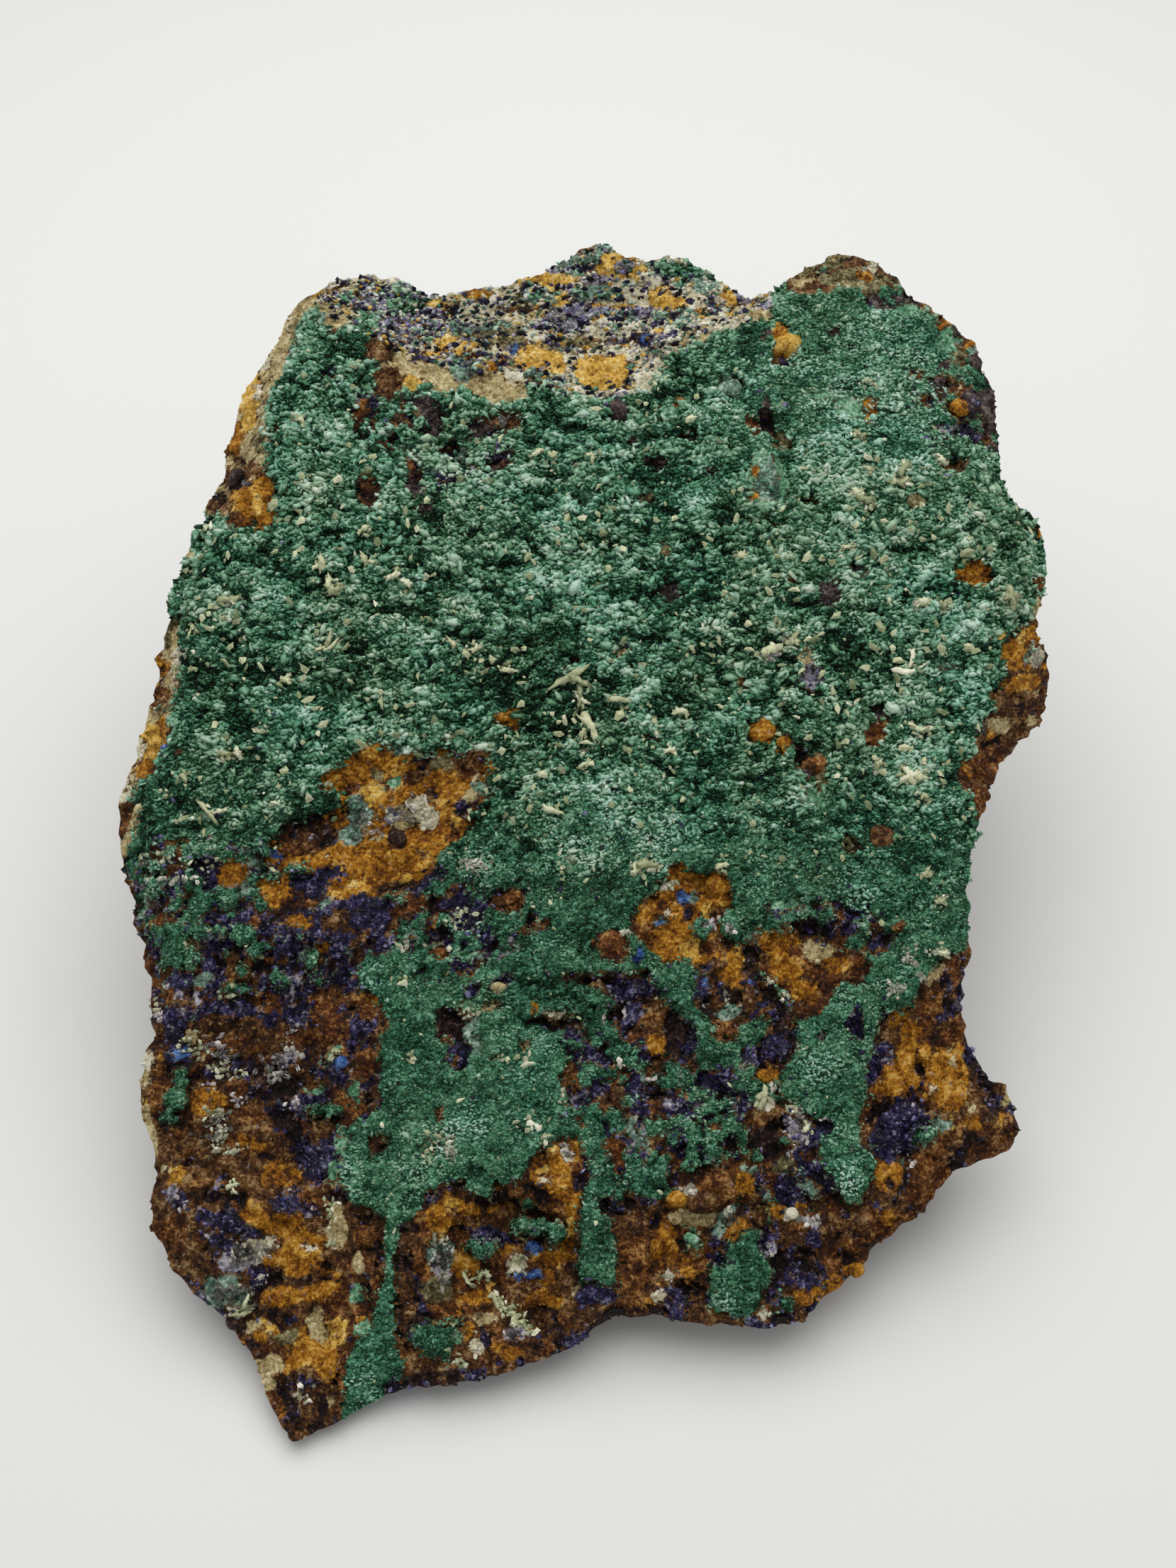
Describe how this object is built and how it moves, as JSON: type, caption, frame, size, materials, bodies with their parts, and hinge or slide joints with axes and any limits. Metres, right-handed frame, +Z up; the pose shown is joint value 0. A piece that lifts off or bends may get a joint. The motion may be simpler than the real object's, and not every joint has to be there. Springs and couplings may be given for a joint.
{
  "type": "malachite specimen",
  "caption": "Wedge-shaped hand specimen of copper ore: a malachite-crusted face leaning forward, iron-stained matrix with azurite, and a flat cut base to rest on.",
  "frame": {"origin": "bottom centre of the whole specimen's box, on the flat cut that it rests on", "axes": "+Z up from the flat base, +Y back along the rising face, +X across the face to the right"},
  "size_m": [0.1586, 0.1942, 0.0858],
  "materials": {
    "malachite_crust": "matte",
    "iron_matrix": "matte",
    "azurite_grains": "satin",
    "pale_flecks": "matte",
    "quartz_druse": "gloss"
  },
  "bodies": {
    "root": {"malachite_specimen": "malachite_crust"}
  },
  "joints": []
}
